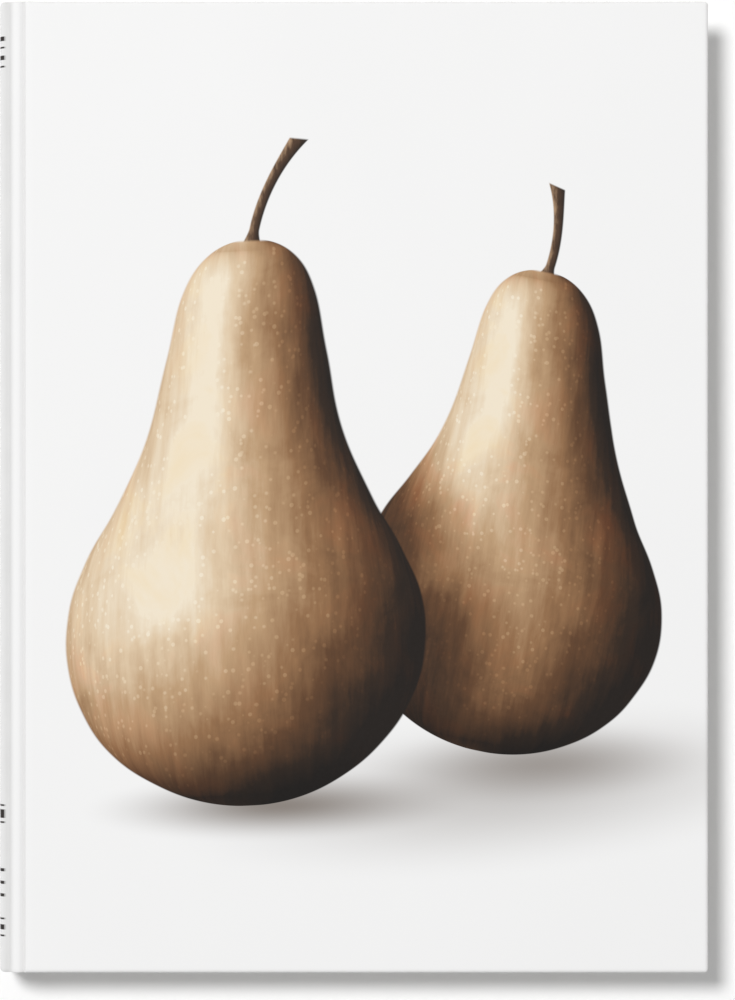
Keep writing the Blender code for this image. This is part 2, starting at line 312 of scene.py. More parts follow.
def turnedPlace(sheet, given):
    # Where a point lies across and along a leaning shape, from the shape's foot
    x, y, _ = sheet.axes(given["Place"])
    footX = sheet.sums("SUBTRACT", x, given["Foot X"])
    footY = sheet.sums("SUBTRACT", y, given["Foot Y"])
    turned = sheet.node("ShaderNodeVectorRotate", rotation_type="Z_AXIS")
    sheet.feed(turned.inputs["Vector"], sheet.joined(footX, footY, 0.0))
    sheet.feed(turned.inputs["Angle"], given["Lean"])
    across, along, _ = sheet.axes(turned.outputs[0])
    return across, sheet.sums("DIVIDE", along, given["Length"])


def buildPrintedPear():
    # A printed pear, shaded as a turned body lit from the upper left
    sheet, given, made = newGroup(
        "printedPear",
        {"Place": ("Vector", None), "Foot X": ("Float", 0.0), "Foot Y": ("Float", 0.0), "Lean": ("Float", 0.0),
         "Length": ("Float", 0.17), "Girth": ("Float", 1.0), "Bend": ("Float", 0.0)},
        {"Mask": "Float", "Light": "Float", "Gap": "Float", "Skin": "Vector", "Gleam": "Float"},
    )
    across, height = turnedPlace(sheet, given)
    sway = sheet.sums("MULTIPLY", given["Bend"], sheet.sums("MULTIPLY", height, height))
    side = sheet.sums("SUBTRACT", sheet.sums("DIVIDE", across, given["Length"]), sway)
    lumps = sheet.noise(given["Place"], pearShading["lumpScale"], 1.0)
    lumps = sheet.span(lumps, 0.3, 0.7, -pearShading["lumpSize"], pearShading["lumpSize"])
    swell = sheet.sums("ADD", given["Girth"], lumps)

    def halfWidth(shift):
        at = sheet.sums("ADD", height, shift)
        return sheet.sums("MULTIPLY", sheet.group("pearOutline", Height=at)["Half Width"], swell)

    width = halfWidth(0.0)
    step = pearShading["slopeStep"]
    slope = sheet.sums("DIVIDE", sheet.sums("SUBTRACT", halfWidth(step), halfWidth(-step)), 2 * step)
    reach = sheet.sums("DIVIDE", side, sheet.sums("MAXIMUM", width, pearShading["thinnest"]))
    held = sheet.sums("MAXIMUM", sheet.sums("MINIMUM", reach, 1.0), -1.0)
    towardsEye = sheet.sums("SUBTRACT", 1.0, sheet.sums("MULTIPLY", held, held))
    outward = sheet.sums("SQRT", sheet.sums("MAXIMUM", towardsEye, 0.0))
    normal = sheet.vector("NORMALIZE", sheet.joined(held, sheet.sums("MULTIPLY", slope, -1.0), outward))
    back = sheet.node("ShaderNodeVectorRotate", rotation_type="Z_AXIS", invert=True)
    sheet.feed(back.inputs["Vector"], normal)
    sheet.feed(back.inputs["Angle"], given["Lean"])
    light = sheet.vector("DOT_PRODUCT", back.outputs[0], pearShading["keyDirection"], out=1)
    gleam = sheet.vector("DOT_PRODUCT", back.outputs[0], pearShading["gleamDirection"], out=1)
    gleam = sheet.sums("POWER", sheet.sums("MAXIMUM", gleam, 0.0), pearShading["gleamTightness"])
    gap = sheet.sums("SUBTRACT", sheet.sums("ABSOLUTE", side), width)
    body = sheet.span(gap, -0.0035, 0.0015, 1.0, 0.0, True)
    low = sheet.span(height, -0.0005, 0.0012, 0.0, 1.0, True)
    top = sheet.span(height, 0.994, 1.0, 1.0, 0.0, True)
    sheet.feed(made["Mask"], sheet.sums("MULTIPLY", sheet.sums("MULTIPLY", body, low), top))
    sheet.feed(made["Light"], light)
    sheet.feed(made["Gap"], sheet.sums("MULTIPLY", gap, given["Length"]))
    # Wraps the skin's marks round the body, so they crowd towards its sides
    wrapped = sheet.sums("ARCSINE", held)
    sheet.feed(made["Skin"], sheet.joined(sheet.sums("MULTIPLY", wrapped, width), height, 0.0))
    sheet.feed(made["Gleam"], gleam)


stemShading = {"flare": 0.9, "flareTightness": 5.0, "root": 0.9, "rootLength": 0.18}


def buildPrintedStem():
    # A printed stalk: a bent taper that widens to its cut end
    sheet, given, made = newGroup(
        "printedStem",
        {"Place": ("Vector", None), "Foot X": ("Float", 0.0), "Foot Y": ("Float", 0.0), "Lean": ("Float", 0.0),
         "Length": ("Float", 0.03), "Thick": ("Float", 0.0016), "Bend": ("Float", 0.2)},
        {"Mask": "Float", "Light": "Float"},
    )
    across, height = turnedPlace(sheet, given)
    bend = sheet.sums("MULTIPLY", given["Bend"], given["Length"])
    bow = sheet.sums("MULTIPLY", bend, sheet.sums("MULTIPLY", height, height))
    side = sheet.sums("SUBTRACT", across, bow)
    flare = sheet.sums("POWER", sheet.sums("MAXIMUM", height, 0.0), stemShading["flareTightness"])
    flare = sheet.sums("ADD", 1.0, sheet.sums("MULTIPLY", stemShading["flare"], flare))
    root = sheet.span(height, 0.0, stemShading["rootLength"], stemShading["root"], 0.0, True)
    thick = sheet.sums("MULTIPLY", given["Thick"], sheet.sums("ADD", flare, root))
    gap = sheet.sums("SUBTRACT", sheet.sums("ABSOLUTE", side), thick)
    body = sheet.span(gap, -0.0003, 0.0002, 1.0, 0.0, True)
    ends = sheet.sums("MULTIPLY", sheet.span(height, 0.0, 0.01), sheet.span(height, 0.985, 1.0, 1.0, 0.0))
    sheet.feed(made["Mask"], sheet.sums("MULTIPLY", body, ends))
    sheet.feed(made["Light"], sheet.span(sheet.sums("DIVIDE", side, thick), -1.0, 1.0, 1.0, 0.0))


for buildEffect in (buildPaperFibre, buildShelfRub, buildCreaseShade,
                    buildTurnedOutline, buildPrintedPear, buildPrintedStem):
    buildEffect()
print("shared effects built")


# Finishes

coverFinish = {
    "white": (0.876, 0.875, 0.874),
    "rubbed": (0.78, 0.765, 0.735),
    "rubShare": 0.5,
    # Colour multiplied in as painted shade in the grooves beside the spine
    "paintedShade": (0.78, 0.78, 0.775),
    "ink": (0.035, 0.03, 0.028),
    "roughness": 0.6,
    "specular": 0.16,
    "bump": 0.25,
    "relief": 0.00002,
}
printedPears = {
    "front": {"Foot X": -0.030, "Foot Y": -0.0935, "Lean": -0.05, "Length": 0.166, "Girth": 1.0, "Bend": 0.05},
    "rear": {"Foot X": 0.037, "Foot Y": -0.0775, "Lean": 0.20, "Length": 0.142, "Girth": 1.02, "Bend": -0.06},
}
printedStems = {
    "front": {"Lean": 0.10, "Length": 0.034, "Thick": 0.0015, "Bend": 0.32},
    "rear": {"Lean": 0.42, "Length": 0.027, "Thick": 0.0014, "Bend": -0.30},
}
stemSunk = 0.003  # how far a stalk's foot lies inside its pear
pearTones = [
    (0.0, (0.012, 0.008, 0.006)), (0.16, (0.030, 0.016, 0.009)), (0.34, (0.115, 0.052, 0.022)),
    (0.52, (0.285, 0.150, 0.068)), (0.70, (0.500, 0.325, 0.180)), (0.86, (0.720, 0.560, 0.380)),
    (1.0, (0.860, 0.760, 0.600)),
]


def laidPaper(sheet, inputs, base, roughness, fibreSize=1.0, cloud=0.02):
    # Colour with the paper's tone, and its fibre as relief
    place = restPlace(sheet)
    fibre = sheet.group("paperFibre", Place=place, **{"Fibre Size": fibreSize, "Cloud": cloud})
    toned = sheet.mix(1.0, base, sheet.joined(*(fibre["Tone"],) * 3), "MULTIPLY")
    sheet.feed(inputs["Base Color"], toned)
    sheet.feed(inputs["Roughness"], sheet.span(fibre["Height"], 0.3, 0.7, roughness - 0.04, roughness + 0.05))
    return fibre


def coverPaper(name, printed=None):
    # Matt laminated paper: white stock, the print that lies on it, a little rub along its edges, and painted shade
    # in the grooves beside the spine
    material, sheet, inputs = newMaterial(name, coverFinish["roughness"], coverFinish["specular"])
    place = restPlace(sheet)
    colour = (*coverFinish["white"], 1)
    if printed:
        colour = printed(sheet, place, colour)
    rub = sheet.group("shelfRub", Place=place, **{"Fore Edge": foreX, "Half Height": headY})["Rub"]
    rub = sheet.sums("MULTIPLY", rub, coverFinish["rubShare"])
    wearAndPaintedShade = sheet.mix(rub, colour, (*coverFinish["rubbed"], 1))
    # Painted shade in the joint groove and the spine's crease, multiplied into the worn colour
    paintedShade = sheet.group("creasePaintedShade", Place=place, Joint=jointX - creaseShadeValues["jointAside"],
                       Crease=spineX + creaseShadeValues["creaseIn"])["PaintedShade"]
    wearAndPaintedShade = sheet.mix(paintedShade, wearAndPaintedShade, (*coverFinish["paintedShade"], 1), "MULTIPLY")
    fibre = laidPaper(sheet, inputs, wearAndPaintedShade, coverFinish["roughness"])
    addBump(sheet, inputs, fibre["Height"], coverFinish["bump"], coverFinish["relief"])
    return material


skinMarks = {
    "streakStretch": (46.0, 7.0, 1.0),
    "streakTone": 0.045,
    "patchScale": 6.5,
    "patchTone": (-0.07, 0.06),
    "dotScale": 62.0,
    "dotSizeScale": 40.0,
    "dotLift": 0.075,
    "gleamLift": 0.16,
    "blush": (0.42, 0.16, 0.06, 1),
}


def pearColour(sheet, pear, shade, warmth):
    # Russet skin: tone from the light, then streaks, patches and pale dots that follow the body
    skin = pear["Skin"]
    streak = sheet.noise(sheet.vector("MULTIPLY", skin, skinMarks["streakStretch"]), 1.0, 4.0, 0.6)
    patch = sheet.noise(skin, skinMarks["patchScale"], 4.0, 0.62, 0.6)
    dots = sheet.node("ShaderNodeTexVoronoi", feature="F1")
    sheet.feed(dots.inputs["Vector"], skin)
    dots.inputs["Scale"].default_value = skinMarks["dotScale"]
    dotSize = sheet.span(sheet.noise(skin, skinMarks["dotSizeScale"], 1.0), 0.35, 0.65, 0.05, 0.22)
    dot = sheet.span(dots.outputs["Distance"], dotSize, 0.30, 1.0, 0.0, True)
    value = sheet.span(pear["Light"], -0.35, 1.0, 0.0, 0.93)
    value = sheet.sums("MULTIPLY", value, shade)
    value = sheet.sums("ADD", value, sheet.span(streak, 0.3, 0.7, -skinMarks["streakTone"], skinMarks["streakTone"]))
    value = sheet.sums("ADD", value, sheet.span(patch, 0.3, 0.7, *skinMarks["patchTone"]))
    paleDot = sheet.sums("MULTIPLY", sheet.sums("MULTIPLY", dot, skinMarks["dotLift"]), sheet.span(value, 0.1, 0.5))
    value = sheet.sums("ADD", value, paleDot)
    value = sheet.sums("ADD", value, sheet.sums("MULTIPLY", pear["Gleam"], skinMarks["gleamLift"]), clamp=True)
    toned = sheet.ramp(value, pearTones)
    blush = sheet.sums("MULTIPLY", sheet.span(patch, 0.5, 0.75), warmth)
    return sheet.mix(blush, toned, skinMarks["blush"], "OVERLAY")


def stemFoot(pear):
    # Where the stalk leaves the pear: its top, after the lean and the bend
    lean, length = pear["Lean"], pear["Length"]
    up, aside = length - stemSunk, pear["Bend"] * length
    return {
        "Foot X": pear["Foot X"] + up * math.sin(lean) + aside * math.cos(lean),
        "Foot Y": pear["Foot Y"] + up * math.cos(lean) - aside * math.sin(lean),
    }


printedShadows = [
    {"centre": (0.045, -0.089), "size": (0.105, 0.026), "depth": 0.42, "slant": 0.10},
    {"centre": (0.055, -0.081), "size": (0.055, 0.013), "depth": 0.62, "slant": 0.04},
    {"centre": (-0.022, -0.0935), "size": (0.060, 0.011), "depth": 0.85, "slant": 0.03},
]
shadowTone = (0.16, 0.125, 0.10, 1)
stemTones = [(0.0, (0.012, 0.008, 0.006)), (0.5, (0.085, 0.045, 0.025)), (1.0, (0.42, 0.27, 0.16))]
# Where the print ends, in metres: below the face, beside the joint, and across the spine panel
printEdges = {
    "belowFace": (0.0012, 0.0008),
    "onBoard": 0.0004,
    "onSpine": (0.003, 0.0031),
    "onPanel": (0.0115, 0.0117),
    "ruleSoftness": 0.00012,
}


def groundShadow(sheet, place, centre, size, depth, slant):
    # A soft printed shadow: dark where the fruit stands, gone at the ellipse's edge
    x, y, _ = sheet.axes(place)
    aside = sheet.sums("SUBTRACT", x, centre[0])
    across = sheet.sums("DIVIDE", aside, size[0])
    shear = sheet.sums("MULTIPLY", aside, slant)
    up = sheet.sums("DIVIDE", sheet.sums("SUBTRACT", sheet.sums("SUBTRACT", y, centre[1]), shear), size[1])
    squares = sheet.sums("ADD", sheet.sums("MULTIPLY", across, across), sheet.sums("MULTIPLY", up, up))
    return sheet.span(sheet.sums("SQRT", squares), 0.0, 1.0, depth, 0.0, True)


def printedStillLife(sheet, place, colour):
    # Two russet pears on white: the near one upright, the far one leaning away behind it
    front = sheet.group("printedPear", Place=place, **printedPears["front"])
    rear = sheet.group("printedPear", Place=place, **printedPears["rear"])
    for shadow in printedShadows:
        colour = sheet.mix(groundShadow(sheet, place, **shadow), colour, shadowTone)
    for name, pear in (("rear", rear), ("front", front)):
        stem = sheet.group("printedStem", Place=place, **printedStems[name], **stemFoot(printedPears[name]))
        bark = sheet.noise(sheet.vector("MULTIPLY", place, (900.0, 260.0, 1.0)), 1.0, 3.0)
        tone = sheet.sums("MULTIPLY", stem["Light"], sheet.span(bark, 0.3, 0.7, 0.6, 1.15))
        woody = sheet.ramp(tone, stemTones)
        if name == "rear":
            # The near pear shades the far one beside it
            nearFront = sheet.span(front["Gap"], 0.0, 0.034, 0.30, 1.0, True)
            skin = pearColour(sheet, pear, nearFront, 0.45)
        else:
            skin = pearColour(sheet, pear, 1.0, 0.35)
        foot = sheet.axes(pear["Skin"])[1]
        dusk = sheet.span(foot, 0.0, 0.13, 0.42, 1.0, True)
        skin = sheet.mix(1.0, skin, sheet.joined(dusk, dusk, dusk), "MULTIPLY")
        colour = sheet.mix(stem["Mask"], colour, woody)
        colour = sheet.mix(pear["Mask"], colour, skin)
    onFace = sheet.span(sheet.axes(place)[2], *(faceZ - down for down in printEdges["belowFace"]))
    return sheet.mix(onFace, (*coverFinish["white"], 1), colour)


# Place up the spine and half the thickness of each rule, in metres
spineRules = [(0.1318, 0.0006), (0.1292, 0.0002), (0.1262, 0.0006), (0.1236, 0.0002), (-0.0935, 0.0002),
              (-0.0960, 0.0012), (-0.0985, 0.0002), (-0.1125, 0.0004), (-0.1162, 0.0004), (-0.1199, 0.0004),
              (-0.1268, 0.0002), (-0.1293, 0.0007), (-0.1318, 0.0002)]


def printedSpine(sheet, place, colour):
    # Plain dark rules across the spine panel, and nothing else
    x, y, z = sheet.axes(place)
    fromMiddle = sheet.sums("ABSOLUTE", sheet.sums("SUBTRACT", z, midZ))
    onPanel = sheet.span(fromMiddle, *printEdges["onPanel"], 1.0, 0.0)
    ink = 0.0
    for level, half in spineRules:
        far = sheet.sums("ABSOLUTE", sheet.sums("SUBTRACT", y, level))
        ink = sheet.sums("MAXIMUM", ink, sheet.span(far, half, half + printEdges["ruleSoftness"], 1.0, 0.0))
    onSpine = sheet.span(x, *(jointX - aside for aside in printEdges["onSpine"]))
    ink = sheet.sums("MULTIPLY", sheet.sums("MULTIPLY", ink, onPanel), onSpine)
    return sheet.mix(ink, colour, (*coverFinish["ink"], 1))


def frontPrint(sheet, place, colour):
    # The picture on the board, and the rules on what lies left of the joint
    onBoard = sheet.span(sheet.axes(place)[0], jointX, jointX + printEdges["onBoard"])
    return sheet.mix(onBoard, printedSpine(sheet, place, colour), printedStillLife(sheet, place, colour))


endpaperFinish = {"colour": (0.80, 0.785, 0.745), "roughness": 0.78}
leafFinish = {"light": (0.82, 0.805, 0.765), "dark": (0.60, 0.58, 0.535), "roughness": 0.7}
headbandFinish = {"pale": (0.80, 0.77, 0.70), "brown": (0.16, 0.085, 0.045)}
boardFinish = {"colour": (0.33, 0.315, 0.29), "lining": (0.62, 0.57, 0.48)}


def endpaperStock():
    material, sheet, inputs = newMaterial("endpaperStock", endpaperFinish["roughness"], 0.3)
    fibre = laidPaper(sheet, inputs, (*endpaperFinish["colour"], 1), endpaperFinish["roughness"], 1.6, 0.05)
    addBump(sheet, inputs, fibre["Height"], 0.5, 0.00003)
    return material


def leafStock():
    # Text paper: each leaf's cut edge has its own tone
    material, sheet, inputs = newMaterial("leafStock", leafFinish["roughness"], 0.3)
    place = restPlace(sheet)
    thin = sheet.noise(sheet.vector("MULTIPLY", place, (6.0, 6.0, 7000.0)), 1.0, 2.0, 0.7)
    broad = sheet.noise(sheet.vector("MULTIPLY", place, (9.0, 9.0, 900.0)), 1.0, 2.0)
    shade = sheet.sums("ADD", sheet.span(thin, 0.35, 0.65, 0.0, 0.45), sheet.span(broad, 0.35, 0.65, 0.0, 0.3))
    colour = sheet.mix(shade, (*leafFinish["light"], 1), (*leafFinish["dark"], 1))
    fibre = laidPaper(sheet, inputs, colour, leafFinish["roughness"], 1.0, 0.04)
    addBump(sheet, inputs, fibre["Height"], 0.4, 0.00002)
    return material


def threadCloth(name, colour):
    # Twisted headband thread
    material, sheet, inputs = newMaterial(name, 0.75, 0.3)
    place = restPlace(sheet)
    twist = sheet.noise(sheet.vector("MULTIPLY", place, (9000.0, 2500.0, 9000.0)), 1.0, 2.0)
    dark = (*(value * 0.5 for value in colour), 1)
    sheet.feed(inputs["Base Color"], sheet.mix(sheet.span(twist, 0.3, 0.7, 0.0, 0.35), (*colour, 1), dark))
    addBump(sheet, inputs, twist, 0.6, 0.00004)
    inputs["Sheen Weight"].default_value = 0.2
    return material


def rawBoard(name, colour, flecks):
    # Greyboard and lining paper on the solids of the frame, whose own place is their rest place
    material, sheet, inputs = newMaterial(name, 0.9, 0.2)
    place = sheet.node("ShaderNodeTexCoord").outputs["Object"]
    fibre = sheet.group("paperFibre", Place=place, **{"Fibre Size": 2.2, "Cloud": 0.12})
    fleck = sheet.span(sheet.noise(place, 1500.0, 2.0, 0.7), 0.6, 0.72, 0.0, flecks)
    toned = sheet.mix(1.0, (*colour, 1), sheet.joined(*(fibre["Tone"],) * 3), "MULTIPLY")
    sheet.feed(inputs["Base Color"], sheet.mix(fleck, toned, (0.12, 0.11, 0.10, 1)))
    addBump(sheet, inputs, fibre["Height"], 0.7, 0.00006)
    return material


finishes = {
    "frontCover": coverPaper("frontCoverPaper", frontPrint),
    "backCover": coverPaper("backCoverPaper"),
    "endpaper": endpaperStock(),
    "leaf": leafStock(),
    "threadPale": threadCloth("paleThread", headbandFinish["pale"]),
    "threadBrown": threadCloth("brownThread", headbandFinish["brown"]),
    "board": rawBoard("rawGreyboard", boardFinish["colour"], 0.6),
    "lining": rawBoard("liningPaper", boardFinish["lining"], 0.15),
}
print("finishes built:", ", ".join(finishes))


# Mesh helpers

sharpAngle = math.radians(50)


def meshPiece(name, shape, *pieceFinishes):
    mesh = bpy.data.meshes.new(name)
    shape.to_mesh(mesh)
    shape.free()
    piece = bpy.data.objects.new(name, mesh)
    scene.collection.objects.link(piece)
    for finish in pieceFinishes:
        mesh.materials.append(finishes[finish])
    mesh.shade_smooth()
    return piece


def settled(piece):
    # Applies the modifiers and keeps where each point lies at rest
    graph = bpy.context.evaluated_depsgraph_get()
    mesh = bpy.data.meshes.new_from_object(piece.evaluated_get(graph), depsgraph=graph)
    piece.modifiers.clear()
    piece.data = mesh
    mesh.set_sharp_from_angle(angle=sharpAngle)
    mark = mesh.attributes.new("restPlace", "FLOAT_VECTOR", "POINT")
    mark.data.foreach_set("vector", [value for vertex in mesh.vertices for value in vertex.co])
    return piece


def thicken(piece, thickness, offset):
    # Offset: -1 adds the thickness below the surface, 0 on both sides of it
    solid = piece.modifiers.new("Paper thickness", "SOLIDIFY")
    solid.thickness = thickness
    solid.offset = offset
    return settled(piece)


def smoothLine(points, steps):
    # A curve through the points
    padded = [points[0], *points, points[-1]]
    line = []
    for a, b, c, d in zip(padded, padded[1:], padded[2:], padded[3:]):
        for step in range(steps):
            t = step / steps
            line.append(tuple(
                0.5 * (2 * q + (r - p) * t + (2 * p - 5 * q + 4 * r - s) * t ** 2 + (3 * q - p - 3 * r + s) * t ** 3)
                for p, q, r, s in zip(a, b, c, d)))
    return [*line, tuple(points[-1])]


def between(low, high, count):
    return [low + (high - low) * step / count for step in range(count + 1)]


# The case: one sheet of cover paper over spine and boards, in two halves that meet at the rear crease of the spine

caseValues = {
    "paper": 0.25 * mm,
    "edgeRound": 1.0 * mm,
    "innerRound": 0.3 * mm,
    "boardTurn": 9.0 * mm,
    "spineTurn": 11.0 * mm,
    "spineDepth": 1.9 * mm,
    "jointDepth": 0.55 * mm,
    "deepFrom": 2.2 * mm,  # down the spine, where the turned-in edge starts to reach deeper
    "deepOver": 2 * mm,
    "bendReach": 1.3 * mm,
    "nearEdge": (0.6, 2, 4, 6),  # millimetres in from the edge, where the mesh has its closest rows
    "nearGap": 6,
    "slopeGap": 2,
    "rowInset": 15 * mm,
    "flatColumns": 22,
    "flatRows": 26,
    "edgeSteps": 4,
    "innerSteps": 2,
    "lineSteps": 5,
}
# Millimetres from the spine's outermost point and down from the face, from the joint to the middle of the spine
spineHalfOutline = [(7.42, 0.8), (7.15, 0.7), (6.85, 0.54), (6.4, 0.34), (5.7, 0.28), (4.8, 0.5), (3.9, 1.25),
                    (3.15, 2.12), (2.35, 2.3), (1.55, 2.5), (0.85, 3.2), (0.35, 4.8), (0.07, 8.6), (0.0, 14.0)]
creaseIndex = 7
# Millimetres from the joint and down from the face
coverSlope = [(-0.02, 0.8), (0.13, 0.68), (0.34, 0.4), (0.58, 0.14), (0.9, 0.0)]


def caseColumns(wholeSpine):
    # Stations along the section of the case, from the rear crease, or the front one, to the fore edge
    spine = [(spineX + x * mm, faceZ - z * mm) for x, z in spineHalfOutline]
    slope = [(jointX + x * mm, faceZ - z * mm) for x, z in coverSlope]
    rear = [(x, 2 * midZ - z) for x, z in spine]
    start = rear[creaseIndex:-1] + spine[::-1] if wholeSpine else spine[creaseIndex::-1]
    line = smoothLine(start + slope, caseValues["lineSteps"])
    edge = foreX - caseValues["edgeRound"]
    near = [*caseValues["nearEdge"], caseValues["boardTurn"] / mm]
    flat = between(slope[-1][0] + caseValues["slopeGap"] * mm, edge - (near[-1] + caseValues["nearGap"]) * mm,
                   caseValues["flatColumns"])
    line += [(x, faceZ) for x in flat] + [(edge - step * mm, faceZ) for step in reversed(near)] + [(edge, faceZ)]
    columns = []
    for i, (x, z) in enumerate(line):
        (x0, z0), (x1, z1) = line[max(i - 1, 0)], line[min(i + 1, len(line) - 1)]
        along = Vector((x1 - x0, 0, z1 - z0)).normalized()
        onSpine = x < spineX + spineHalfOutline[creaseIndex][0] * mm
        beyond = (x - slope[1][0]) / (slope[4][0] - slope[1][0])
        if onSpine:
            down = faceZ - midZ - abs(z - midZ)
            share = min(1, max(0, (down - caseValues["deepFrom"]) / caseValues["deepOver"]))
            inward = Vector((along.z, 0, -along.x))
            depth = (1 - share) * caseValues["jointDepth"] + share * caseValues["spineDepth"]
        elif beyond <= 0:
            inward, depth = Vector((along.z, 0, -along.x)), caseValues["jointDepth"]
        else:
            share = min(1, beyond)
            inward = Vector((0, 0, -1))
            depth = (1 - share) * caseValues["jointDepth"] + share * (z - turnLowZ)
        columns.append({"x": x, "z": z, "in": inward, "depth": depth,
                        "turn": caseValues["boardTurn"] if x > slope[0][0] else caseValues["spineTurn"]})
    return columns


def edgeSection(depth, turn):
    # Steps out over the edge, down its side and back in underneath, as (out, down)
    wide = caseValues["edgeRound"]
    outer, inner = min(wide, depth * 0.45), min(caseValues["innerRound"], depth * 0.3)
    section = []
    for angle in between(0, math.pi / 2, caseValues["edgeSteps"]):
        section.append((wide - outer + outer * math.sin(angle), outer * (1 - math.cos(angle))))
    for angle in between(0, math.pi / 2, caseValues["innerSteps"]):
        section.append((wide - inner + inner * math.cos(angle), depth - inner + inner * math.sin(angle)))
    section.append((0.0, depth))
    section.append((-turn, depth))
    return section[1:]


def caseHalf(name, wholeSpine, finish):
    columns = caseColumns(wholeSpine)
    high = headY - caseValues["edgeRound"]
    near = [0, *caseValues["nearEdge"], caseValues["boardTurn"] / mm]
    flatHigh = high - caseValues["rowInset"]
    flat = between(-flatHigh, flatHigh, caseValues["flatRows"])
    rows = [-high + step * mm for step in near] + flat + [high - step * mm for step in reversed(near)]
    shape = bmesh.new()
    grid = [[shape.verts.new((c["x"], y, c["z"])) for y in rows] for c in columns]
    for i in range(len(columns) - 1):
        for j in range(len(rows) - 1):
            shape.faces.new((grid[i][j], grid[i + 1][j], grid[i + 1][j + 1], grid[i][j + 1]))
    last, top = len(columns) - 1, len(rows) - 1
    edgeX = columns[last]["x"]
    # One station for each point of the outer edge: its vertex, the way out, its column and the room to turn in
    stations = [(grid[i][top], (0, 1, 0), i, edgeX - columns[i]["x"]) for i in range(last + 1)]
    quarter = between(math.pi / 2, 0, caseValues["edgeSteps"])[1:-1]
    stations += [(grid[last][top], (math.cos(a), math.sin(a), 0), last, 0) for a in quarter]
    stations += [(grid[last][j], (1, 0, 0), last, min(rows[top] - rows[j], rows[j] - rows[0]))
                 for j in range(top, -1, -1)]
    stations += [(grid[last][0], (math.cos(a), -math.sin(a), 0), last, 0) for a in reversed(quarter)]
    stations += [(grid[i][0], (0, -1, 0), i, edgeX - columns[i]["x"]) for i in range(last, -1, -1)]
    rings = [[station[0] for station in stations]]
    made = []
    for base, out, i, room in stations:
        column = columns[i]
        turn = min(column["turn"], room)
        made.append([shape.verts.new(base.co + Vector(out) * a + column["in"] * b)
                     for a, b in edgeSection(column["depth"], turn)])
    rings += [list(ring) for ring in zip(*made)]
    for inner, outer in zip(rings, rings[1:]):
        for k in range(len(stations) - 1):
            corners = list(dict.fromkeys((inner[k], inner[k + 1], outer[k + 1], outer[k])))
            if len(corners) > 2:
                shape.faces.new(corners)
    bmesh.ops.remove_doubles(shape, verts=shape.verts, dist=0.002 * mm)
    if not wholeSpine:
        for vertex in shape.verts:
            vertex.co.z = 2 * midZ - vertex.co.z
        bmesh.ops.reverse_faces(shape, faces=shape.faces)
    return thicken(meshPiece(name, shape, finish), caseValues["paper"], -1)


def addCase():
    for name, whole, finish, body, slot in (
        ("frontCase", True, "frontCover", "front_cover", "front_cover_paper"),
        ("backCase", False, "backCover", "back_cover", "back_cover_paper"),
    ):
        piece = caseHalf(name, whole, finish)
        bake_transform(piece)
        if whole:
            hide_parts("front_wrap", "spine_wrap")
        else:
            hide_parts("back_wrap")
    print("case paper laid over spine and boards")


addCase()


# Endpapers: one folded sheet each, pasted to the board on one side and loose on the block on the other

endpaperValues = {
    "paper": 0.15 * mm,
    "pasteGap": 0.02 * mm,
    "foldInset": 0.6 * mm,
    "foldReach": 1.2 * mm,
    "foldEnd": 1.5 * mm,
    "bendInset": 0.1 * mm,
    "foldSteps": 20,
    "rows": 12,
    "columns": 24,
}


def endpaper(name, frontSide):
    v = endpaperValues
    boardSide = turnLowZ - v["paper"] * 0.5 - v["pasteGap"]
    blockSide = (leafLow.z + leafHigh.z) / 2
    foldX = jointX - v["foldInset"]
    half = (boardSide - blockSide) / 2
    line = [(x, boardSide) for x in between(leafHigh.x, foldX + v["foldEnd"], v["columns"])]
    for angle in between(math.pi / 2, 3 * math.pi / 2, v["foldSteps"]):
        line.append((foldX + v["foldReach"] * math.cos(angle), boardSide - half + half * math.sin(angle)))
    line += [(x, blockSide) for x in between(foldX + v["foldEnd"], leafHigh.x, v["columns"])]
    shape = bmesh.new()
    rows = between(leafLow.y, leafHigh.y, v["rows"])
    grid = [[shape.verts.new((x, y, z if frontSide else 2 * midZ - z)) for y in rows] for x, z in line]
    for i in range(len(line) - 1):
        for j in range(len(rows) - 1):
            shape.faces.new((grid[i][j], grid[i + 1][j], grid[i + 1][j + 1], grid[i][j + 1]))
    piece = thicken(meshPiece(name, shape, "endpaper"), v["paper"], 0)
    side = "front" if frontSide else "back"
    low, high = blockSide + v["bendInset"], boardSide - v["bendInset"]
    if not frontSide:
        low, high = 2 * midZ - low, 2 * midZ - high
    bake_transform(piece)
    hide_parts(f"{side}_pastedown", f"{side}_flyleaf")


endpaper("frontEndpaper", True)
endpaper("backEndpaper", False)
print("endpapers folded in")


# The text block: sections of folded sheets, each leaf cut to the concave fore edge

blockValues = {
    "sections": sum(node.startswith("section_") for node in frame["nodes"]),
    "sheetsPerSection": 4,
    "paperShare": 0.9,
    "foldSteps": 5,
    "leastFold": 0.02 * mm,
    "trimScatter": 0.05 * mm,
    "sheetScatter": 0.035 * mm,
}


def blockBack(z):
    # The rounded back of the block, from the sections' own places
    reach = (z - midZ) / (blockTopZ - midZ)
    outer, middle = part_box("section_01")[0][0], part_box("section_08")[0][0]
    return middle + (outer - middle) * reach ** 2


